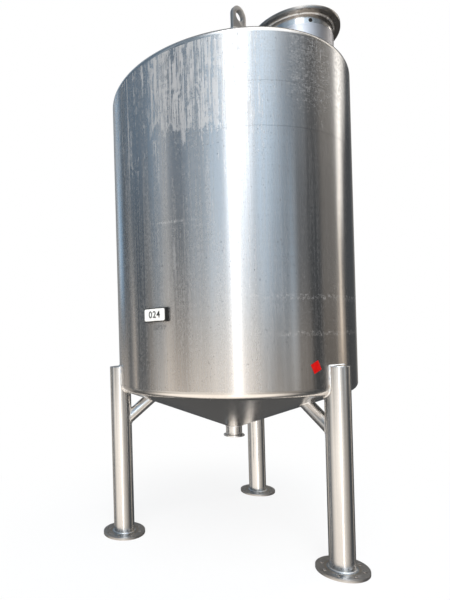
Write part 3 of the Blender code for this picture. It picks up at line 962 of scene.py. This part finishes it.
def make_leg(number, vessel):
    """One pipe leg with its cap, its brace, its drilled foot plate and their welds."""
    azimuth = leg_azimuth(number)
    centre = along(azimuth, LEG_CIRCLE)
    foot_top = FOOT_THICKNESS + GAP
    cap_low, cap_high = (corner.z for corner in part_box(f"leg_cap_{number}"))

    leg = pipe(f"leg_pipe_{number}", LEG_RADIUS, foot_top, cap_low - GAP, centre, LEG_SIDES, LEG_WALL)
    cut(leg, vessel)
    finish_piece(leg, PIPE_FINISH, "pipe_steel", f"leg_{number}")

    rim = (cap_high - cap_low) * CAP_ROUND_SHARE
    cap_outline = [(LEG_RADIUS, cap_low)]
    cap_outline += arc((LEG_RADIUS - rim, cap_high - rim), rim, 0, CAP_SWEEP, ROUNDING_STEPS)
    cap_outline += [(LEG_RADIUS * out, cap_high + CAP_RISE * up) for out, up in CAP_DOME]
    cap = turned_block(f"leg_end_cap_{number}", cap_outline, centre, LEG_SIDES)
    cut(cap, vessel)
    finish_piece(cap, PIPE_FINISH, "pipe_steel", f"leg_cap_{number}", angle=CAP_SMOOTH_ANGLE)

    leg_block = cylinder("leg_block", LEG_RADIUS + GAP, foot_top, cap_high, centre, LEG_SIDES)
    brace = pipe(f"brace_pipe_{number}", BRACE_RADIUS, 0.0, BRACE_LENGTH, (0.0, 0.0), BRACE_SIDES,
                 BRACE_WALL)
    lean = Matrix.Rotation(radians(BRACE_RISE - 90), 4, "X")
    onto_tank(brace, azimuth, LEG_CIRCLE, BRACE_FOOT, lean)
    drill(brace, leg_block)
    cut(brace, vessel)
    finish_piece(brace, BRACE_FINISH, "pipe_steel", f"brace_{number}")

    foot = cylinder(f"foot_disc_{number}", FOOT_RADIUS, 0.0, FOOT_THICKNESS, centre, FOOT_SIDES)
    for index in range(FOOT_HOLES):
        spot = centre + FOOT_HOLE_CIRCLE * outward(azimuth + 360 * (index + 0.5) / FOOT_HOLES)
        hole = cylinder("bolt_hole", FOOT_HOLE_RADIUS, -CUTTER_PROUD, 2 * CUTTER_PROUD, spot,
                        HOLE_SIDES)
        drill(foot, hole)
    soften_edges(foot, FOOT_EDGE)
    finish_piece(foot, FOOT_FINISH, "plate_steel", f"foot_plate_{number}")

    weld_bead(f"leg_saddle_weld_{number}", saddle_path(azimuth, cap_high), SADDLE_WIDTH, "pipe_steel",
              lambda spot: SADDLE_SWELL if spot.z > SHELL_BOTTOM else 1.0)
    weld_bead(f"brace_foot_weld_{number}", brace_foot_path(azimuth), BRACE_FOOT_WIDTH, "pipe_steel")
    weld_bead(f"brace_head_weld_{number}", brace_head_path(azimuth), BRACE_HEAD_WIDTH, "pipe_steel")
    foot_path = ring_path(centre, LEG_RADIUS + THIN_WELD_SHIFT, FOOT_THICKNESS)
    weld_bead(f"foot_weld_{number}", foot_path, FOOT_WELD_WIDTH, "plate_steel")


def make_lug(number, vessel):
    """One lifting lug: a round-topped plate with its eye, welded to the roof's edge."""
    half = LUG_WIDTH / 2
    bpy.ops.mesh.primitive_cylinder_add(vertices=FOOT_SIDES, radius=half, depth=LUG_THICKNESS,
                                        rotation=(radians(90), 0, 0))
    lug = new_piece(f"lifting_eye_{number}")
    apply_place(lug)
    bpy.ops.object.mode_set(mode="EDIT")
    bpy.ops.mesh.select_all(action="SELECT")
    bpy.ops.mesh.bisect(plane_co=(0, 0, 0), plane_no=(0, 0, 1), use_fill=True, clear_inner=True)
    bpy.ops.mesh.extrude_region_move(
        TRANSFORM_OT_translate={"value": (0, 0, LUG_FOOT - LUG_EYE_HEIGHT)})
    close_mesh()
    eye = cylinder("lug_eye", LUG_EYE_RADIUS, -CUTTER_PROUD, CUTTER_PROUD, (0.0, 0.0),
                   FOOT_SIDES // 2)
    move_mesh(eye, STAND_UP)
    drill(lug, eye)
    soften_edges(lug, SAWN_EDGE)

    azimuth = FIRST_LUG + 360 / len(LUG_NUMBERS) * (number - 1)
    turn = Matrix.Rotation(radians(LUG_TURN), 4, "Z")
    onto_tank(lug, azimuth, LUG_CIRCLE, LUG_EYE_HEIGHT, turn)
    cut(lug, vessel)
    finish_piece(lug, PLATE_FINISH, "plate_steel", f"lifting_lug_{number}")

    spot = along(azimuth, LUG_CIRCLE)
    across = Matrix.Rotation(radians(azimuth + LUG_TURN), 2)
    corners = [(-half, -0.5), (half, -0.5), (half, 0.5), (-half, 0.5)]
    path = []
    for start, end in zip(corners, corners[1:] + corners[:1]):
        for step in range(LUG_SIDE_STEPS):
            share = step / LUG_SIDE_STEPS
            side = start[0] + (end[0] - start[0]) * share
            depth = (start[1] + (end[1] - start[1]) * share) * LUG_THICKNESS
            place = spot + across @ Vector((side, depth))
            path.append((*place, roof_height((place - TANK_AXIS).length)))
    weld_bead(f"lug_weld_{number}", path, LUG_WELD_WIDTH, "plate_steel")


def make_manway(vessel):
    """The manway's neck with its vent, the ring flange, and the welds above and below."""
    flange_foot = MANWAY_TOP - MANWAY_FLANGE
    neck = pipe("manway_collar", MANWAY_RADIUS, MANWAY_FOOT, flange_foot - GAP, MANWAY_CENTRE,
                MANWAY_SIDES, WALL)
    cut(neck, vessel)
    # The vent is a blind pit, not a hole; its black is painted shade
    vent = cylinder("vent", VENT_RADIUS, -VENT_OPEN_DEPTH, CUTTER_PROUD, (0.0, 0.0), HOLE_SIDES)
    spot = MANWAY_CENTRE + MANWAY_RADIUS * outward(VENT_AZIMUTH)
    turn = Matrix.Rotation(radians(VENT_AZIMUTH), 4, "Z")
    move_mesh(vent, Matrix.Translation((*spot, VENT_HEIGHT)) @ turn @ STAND_UP)
    drill(neck, vent)
    finish_piece(neck, collar_finish(), "head_steel", "manway_neck")

    bore = MANWAY_RADIUS - WALL
    outline = [(bore, flange_foot), (MANWAY_FLANGE_RADIUS, flange_foot),
               (MANWAY_FLANGE_RADIUS, MANWAY_TOP), (bore, MANWAY_TOP)]
    flange = turned_solid("manway_ring", outline, MANWAY_CENTRE, MANWAY_SIDES)
    soften_edges(flange, SAWN_EDGE)
    finish_piece(flange, FLANGE_FINISH, "plate_steel", "manway_flange")

    reach = MANWAY_RADIUS + THICK_WELD_SHIFT
    for end, level in (("roof", lambda place: roof_height((place - TANK_AXIS).length)),
                       ("flange", flange_foot - THICK_WELD_SHIFT)):
        path = ring_path(MANWAY_CENTRE, reach, level, MANWAY_RING_STEPS)
        weld_bead(f"manway_{end}_weld", path, MANWAY_WELD_WIDTH, "head_steel")


def make_nameplate(vessel):
    """The nameplate with plain digits, on its bent channel bracket."""
    bracket = block("nameplate_channel", BRACKET_SIZE)
    pick("FACE", bracket.data.polygons,
         lambda face: abs(face.normal.z) > 0.5 or face.normal.y > 0.5)
    bpy.ops.mesh.delete(type="FACE")
    close_mesh()
    soften_edges(bracket, BRACKET_BEND, BEND_STEPS)
    apply_modifier(bracket, "SOLIDIFY", thickness=BRACKET_SHEET, offset=-1.0)
    onto_tank(bracket, PLATE_AZIMUTH, BRACKET_FACE - BRACKET_SIZE[1] / 2, PLATE_HEIGHT)
    cut(bracket, vessel)
    finish_piece(bracket, CHANNEL_FINISH, "plate_steel", "nameplate_bracket")

    plate = block("label_plate", PLATE_SIZE)
    corners = plate.data.vertices
    pick("EDGE", plate.data.edges,
         lambda edge: corners[edge.vertices[0]].co.y * corners[edge.vertices[1]].co.y < 0)
    bpy.ops.mesh.bevel(offset=PLATE_CORNER, segments=CORNER_STEPS)
    close_mesh()
    soften_edges(plate, PLATE_EDGE, 1)
    onto_tank(plate, PLATE_AZIMUTH, BRACKET_FACE + GAP + PLATE_SIZE[1] / 2, PLATE_HEIGHT)
    finish_piece(plate, enamel_finish(), "label_white", "nameplate")

    bpy.ops.object.text_add()
    text = new_piece("label_digits").data
    text.body = PLATE_DIGITS
    text.size = DIGIT_SIZE
    text.align_x = "CENTER"
    text.align_y = "CENTER"
    text.offset = DIGIT_WEIGHT
    text.space_character = DIGIT_SPACING
    text.extrude = DIGIT_PROUD / 2
    bpy.ops.object.convert(target="MESH")
    digits = bpy.context.object
    bpy.ops.object.mode_set(mode="EDIT")
    close_mesh()
    front = BRACKET_FACE + GAP + PLATE_SIZE[1] + DIGIT_PROUD / 2
    onto_tank(digits, PLATE_AZIMUTH, front, PLATE_HEIGHT, STAND_UP)
    finish_piece(digits, digit_finish(), "label_white", angle=None)


def make_sticker():
    """The square sticker, laid onto the shell's curve."""
    bpy.ops.mesh.primitive_grid_add(x_subdivisions=STICKER_STEPS, y_subdivisions=STICKER_STEPS,
                                    size=STICKER_SIDE, rotation=(radians(90), 0, 0))
    sticker = new_piece("red_sticker")
    apply_place(sticker)
    apply_modifier(sticker, "SOLIDIFY", thickness=STICKER_THICKNESS, offset=1.0)
    move_mesh(sticker, Matrix.Rotation(radians(-STICKER_TURN), 4, "Y"))
    for vertex in sticker.data.vertices:
        reach = SHELL_RADIUS + GAP - vertex.co.y
        turned = radians(STICKER_AZIMUTH) + vertex.co.x / SHELL_RADIUS
        vertex.co.x = TANK_AXIS.x + reach * sin(turned)
        vertex.co.y = TANK_AXIS.y - reach * cos(turned)
        vertex.co.z += STICKER_HEIGHT
    finish_piece(sticker, sticker_finish(), "sticker_red", "sticker")


make_vessel()
make_outlet()
VESSEL = vessel_block()
for leg_number in LEG_NUMBERS:
    make_leg(leg_number, VESSEL)
for lug_number in LUG_NUMBERS:
    make_lug(lug_number, VESSEL)
make_manway(VESSEL)
make_nameplate(VESSEL)
remove(VESSEL)
make_sticker()


# Camera at the photograph's viewing angle

CAMERA_PLACE = (0.4821, -2.0359, 0.8177)
CAMERA_HEADING = 115.70
CAMERA_PITCH = 0.16
CAMERA_ROLL = -1.54
CAMERA_LENS = 27.07
CAMERA_SHIFT = (0.1503, 0.0707)


def make_camera():
    """The camera low in front of the tank, its centre shifted as the cropped view needs."""
    heading, pitch, roll = (radians(angle) for angle in (CAMERA_HEADING, CAMERA_PITCH, CAMERA_ROLL))
    forward = Vector((cos(heading) * cos(pitch), sin(heading) * cos(pitch), sin(pitch)))
    right = forward.cross(Vector((0, 0, 1))).normalized()
    up = right.cross(forward)
    across = right * cos(roll) + up * sin(roll)
    upright = right * -sin(roll) + up * cos(roll)
    data = bpy.data.cameras.new("view_camera")
    data.lens = CAMERA_LENS
    data.shift_x, data.shift_y = CAMERA_SHIFT
    camera = bpy.data.objects.new("view_camera", data)
    bpy.context.scene.collection.objects.link(camera)
    turned = Matrix((across, upright, -forward)).transposed().to_4x4()
    camera.matrix_world = Matrix.Translation(CAMERA_PLACE) @ turned
    bpy.context.scene.camera = camera


# Soft studio surroundings

WHITE = (1.0, 1.0, 1.0)
COOL = (0.67, 0.84, 1.0)
BLUE = (0.36, 0.66, 1.0)
TAN = (1.0, 0.86, 0.70)
SAND = (1.0, 0.90, 0.79)
CREAM = (1.0, 0.94, 0.86)

# Upright panels: azimuth, half width and soft edge, lowest and highest elevation (all in degrees),
# brightness and colour
PANELS = (
    (18.5, 1.8, 3.2, -60, 90, 1.7, WHITE),
    (25, 6, 9, 22, 90, 1.9, WHITE),
    (50, 12, 10, 22, 90, 0.25, COOL),
    (14, 30, 14, 4, 90, 0.42, COOL),
    (14, 14, 10, 4, 90, 0.34, COOL),
    (8, 28, 14, -14, 0, 0.38, CREAM),
    (14, 14, 10, -14, 0, 0.26, CREAM),
    (49, 8, 5, 4, 90, 0.40, COOL),
    (65, 5, 4, -2, 22, 0.28, COOL),
    (71.5, 2.5, 2, -4, 18, 0.20, COOL),
    (80, 5, 3, -4, 30, 0.08, WHITE),
    (78, 8, 6, -20, 0, 0.14, TAN),
    (62, 9, 6, -20, -2, 0.12, TAN),
    (68, 14, 10, 24, 90, 0.15, COOL),
    (105, 16, 8, 24, 90, 0.07, CREAM),
    (112, 9, 3, -4, 40, 0.13, TAN),
    (128, 6, 1.5, -20, 3, 0.36, TAN),
    (128, 1, 1.6, 2, 14, 1.1, TAN),
    (131, 4, 2.5, 16, 90, 1.4, CREAM),
    (138.5, 6.5, 2.5, 26, 90, 1, CREAM),
    (-46.5, 3.5, 3, -8, 90, 0.32, CREAM),
    (-57, 4, 5, -8, 90, 0.18, COOL),
    (-68, 2.2, 2.5, -20, 16, 0.16, TAN),
    (-62, 36, 10, 20, 90, 0.17, BLUE),
    (-48, 13, 6, -20, -2, 0.26, TAN),
    (-93, 0.8, 0.9, -20, 2, 0.75, TAN),
    (-95, 4, 2, -20, 12, 0.20, CREAM),
    (-75, 40, 20, -20, 90, 0.06, COOL),
    (-119, 3, 2, 8, 90, 0.50, BLUE),
    (-125.5, 2.5, 1.5, 8, 90, 0.80, COOL),
    (-118, 9, 4, -20, -4, 0.40, TAN),
    (-140, 9, 6, -10, 90, 0.22, WHITE),
    (185, 16, 8, -4, 60, 0.18, CREAM),
    (180, 60, 30, -90, -26, 0.04, TAN),
)
PANEL_FADE = 6.0
HALF_TURN = 180.0
SURROUND = (0.07, 0.075, 0.08)

# Sunlit ground before the tank and the softbox overhead, seen by its steel alone, and the sun
GROUND_AZIMUTH = -4.0
GROUND_HALF = 12.0
GROUND_SOFT = 82.0
GROUND_LEVEL = 0.92
NEAR_GROUND_LEVEL = 1.6
NEAR_GROUND_HALF = 60.0
NEAR_GROUND_SOFT = 40.0
NEAR_GROUND_EDGE = (-42.0, -24.0)
GROUND_EDGE = (-12.0, 0.0)
FRONT_EDGE = (-0.4, 0.0)
OVERHEAD_AZIMUTH = 62.0
OVERHEAD_ELEVATION = 66.0
OVERHEAD_SPREAD = 32.0
OVERHEAD_LEVEL = 1.7
SUN_AZIMUTH = 12.0
SUN_ELEVATION = 35.0
SUN_SOFTNESS = 50.0
SUN_LEVEL = 1.5


def direction(azimuth, elevation):
    flat = cos(radians(elevation))
    return (flat * sin(radians(azimuth)), -flat * cos(radians(azimuth)), sin(radians(elevation)))


def make_surroundings():
    """A white backdrop, with soft panels round the tank that only its steel sees."""
    world = bpy.data.worlds.new("studio")
    bpy.context.scene.world = world
    paint = Paint(world)
    facing = paint.value("ShaderNodeTexCoord", output="Generated")
    x, y, z = paint.split(facing)
    azimuth = paint.math("ARCTAN2", x, 0 - y) * degrees(1)
    elevation = paint.math("ARCSINE", z) * degrees(1)

    def strip(centre, half, soft):
        away = abs(paint.math("WRAP", azimuth - centre, HALF_TURN, -HALF_TURN))
        return 1 - away.rise(half, half + soft)

    light = paint.scaled(SURROUND, 1.0)
    for centre, half, soft, lowest, highest, level, colour in PANELS:
        shape = strip(centre, half, soft) * elevation.band(lowest, highest, PANEL_FADE)
        light = paint.vector("ADD", light, paint.scaled(colour, shape * level))
    near = 1 - elevation.rise(*NEAR_GROUND_EDGE)
    ground = strip(GROUND_AZIMUTH, GROUND_HALF, GROUND_SOFT)
    ground = ground * (1 - elevation.rise(*GROUND_EDGE)) * (1 - near)
    before = (0 - y).rise(*FRONT_EDGE) * strip(GROUND_AZIMUTH, NEAR_GROUND_HALF, NEAR_GROUND_SOFT)
    ground = ground * GROUND_LEVEL + near * before * NEAR_GROUND_LEVEL
    light = paint.vector("ADD", light, paint.scaled(SAND, ground))
    toward = paint.vector("DOT_PRODUCT", facing, direction(OVERHEAD_AZIMUTH, OVERHEAD_ELEVATION),
                          "Value")
    overhead = toward.rise(cos(radians(OVERHEAD_SPREAD)), cos(radians(OVERHEAD_SPREAD / 2)))
    light = paint.vector("ADD", light, paint.scaled(WHITE, overhead * OVERHEAD_LEVEL))

    seen = paint.value("ShaderNodeLightPath", output="Is Camera Ray")
    shown = paint.mix(light, WHITE, seen)
    background = paint.value("ShaderNodeBackground", None, {"Color": shown, "Strength": 1.0})
    paint.node("ShaderNodeOutputWorld", None, {"Surface": background})


FLOOR_RADIUS = 3.2
FLOOR_SIDES = 96
FLOOR_TONE = (0.93, 0.93, 0.93)
FLOOR_GLOW = 0.85
FLOOR_FADE = (0.5, 1.5)


def make_floor():
    """A plain pale floor that fades into the backdrop, and that only the camera sees."""
    bpy.ops.mesh.primitive_circle_add(vertices=FLOOR_SIDES, radius=FLOOR_RADIUS, fill_type="NGON",
                                      location=AXIS_POINT)
    floor = new_piece("studio_floor")
    apply_place(floor)
    paint, place = new_finish("pale_floor")
    x, y, _ = paint.split(place)
    fade = FLOOR_GLOW + (1 - FLOOR_GLOW) * paint.math("SQRT", x * x + y * y).rise(*FLOOR_FADE)
    pale = paint.value("ShaderNodeBsdfDiffuse", None, {"Color": (*FLOOR_TONE, 1.0)})
    white = paint.value("ShaderNodeEmission", None, {"Color": (*WHITE, 1.0)})
    clear = paint.value("ShaderNodeBsdfTransparent")
    faded = paint.value("ShaderNodeMixShader", None, {0: fade, 1: pale, 2: white})
    seen = paint.value("ShaderNodeLightPath", output="Is Camera Ray")
    shown = paint.value("ShaderNodeMixShader", None, {0: seen, 1: clear, 2: faded})
    paint.node("ShaderNodeOutputMaterial", None, {"Surface": shown})
    floor.data.materials.append(paint.owner)


def make_sun():
    """A soft sun that lights what isn't bare metal: the label, the sticker and the dried film."""
    light = bpy.data.lights.new("soft_sun", "SUN")
    light.energy = SUN_LEVEL
    light.angle = radians(SUN_SOFTNESS)
    sun = bpy.data.objects.new("soft_sun", light)
    bpy.context.scene.collection.objects.link(sun)
    toward = Vector(direction(SUN_AZIMUTH, SUN_ELEVATION))
    sun.rotation_euler = toward.to_track_quat("Z", "Y").to_euler()
    sun.visible_glossy = False


make_camera()
make_surroundings()
make_floor()
make_sun()
bpy.context.scene.view_settings.view_transform = "Standard"
